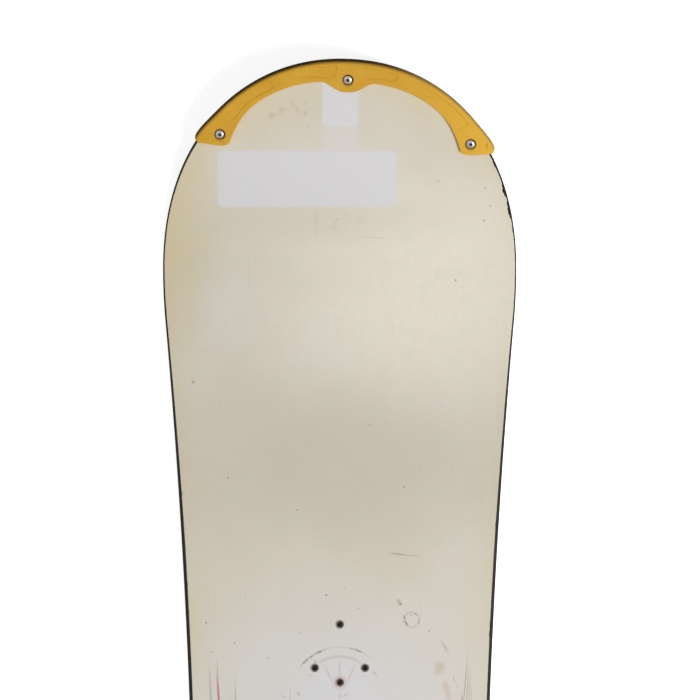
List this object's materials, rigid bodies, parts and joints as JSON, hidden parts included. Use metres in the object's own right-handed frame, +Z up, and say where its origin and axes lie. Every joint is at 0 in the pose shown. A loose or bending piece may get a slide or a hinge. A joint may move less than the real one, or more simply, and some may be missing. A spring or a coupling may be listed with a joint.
{
  "type": "snowboard",
  "caption": "Directional-use twin-shape snowboard with wood core, steel edges, binding inserts and bolted-on plastic tip guards.",
  "frame": {"origin": "on the floor under the middle of the board", "axes": "+Y towards the nose, +Z up from the running surface, +X to the right seen from above with the nose away"},
  "size_m": [0.3058, 1.5948, 0.0556],
  "materials": {
    "topsheet": "worn satin",
    "laminate": "fibreglass in epoxy",
    "wood": "planed strips",
    "sidewall": "satin black",
    "base": "sintered, ground",
    "edge_steel": "ground",
    "guard": "moulded, scuffed",
    "stainless": "satin"
  },
  "bodies": {
    "root": {"base_sheet": "base", "steel_edge_left": "edge_steel", "steel_edge_right": "edge_steel", "lower_laminate": "laminate", "wood_core": "wood", "sidewall_left": "sidewall", "sidewall_right": "sidewall", "nose_spacer": "sidewall", "tail_spacer": "sidewall", "upper_laminate": "laminate", "topsheet": "topsheet", "insert_front_1": "stainless", "insert_front_2": "stainless", "insert_front_3": "stainless", "insert_front_4": "stainless", "insert_front_5": "stainless", "insert_front_6": "stainless", "insert_front_7": "stainless", "insert_front_8": "stainless", "insert_rear_1": "stainless", "insert_rear_2": "stainless", "insert_rear_3": "stainless", "insert_rear_4": "stainless", "insert_rear_5": "stainless", "insert_rear_6": "stainless", "insert_rear_7": "stainless", "insert_rear_8": "stainless", "nose_guard": "guard", "nose_guard_screw_1": "stainless", "nose_guard_nut_1": "stainless", "nose_guard_screw_2": "stainless", "nose_guard_nut_2": "stainless", "nose_guard_screw_3": "stainless", "nose_guard_nut_3": "stainless", "tail_guard": "guard", "tail_guard_screw_1": "stainless", "tail_guard_nut_1": "stainless", "tail_guard_screw_2": "stainless", "tail_guard_nut_2": "stainless", "tail_guard_screw_3": "stainless", "tail_guard_nut_3": "stainless"}
  },
  "joints": []
}
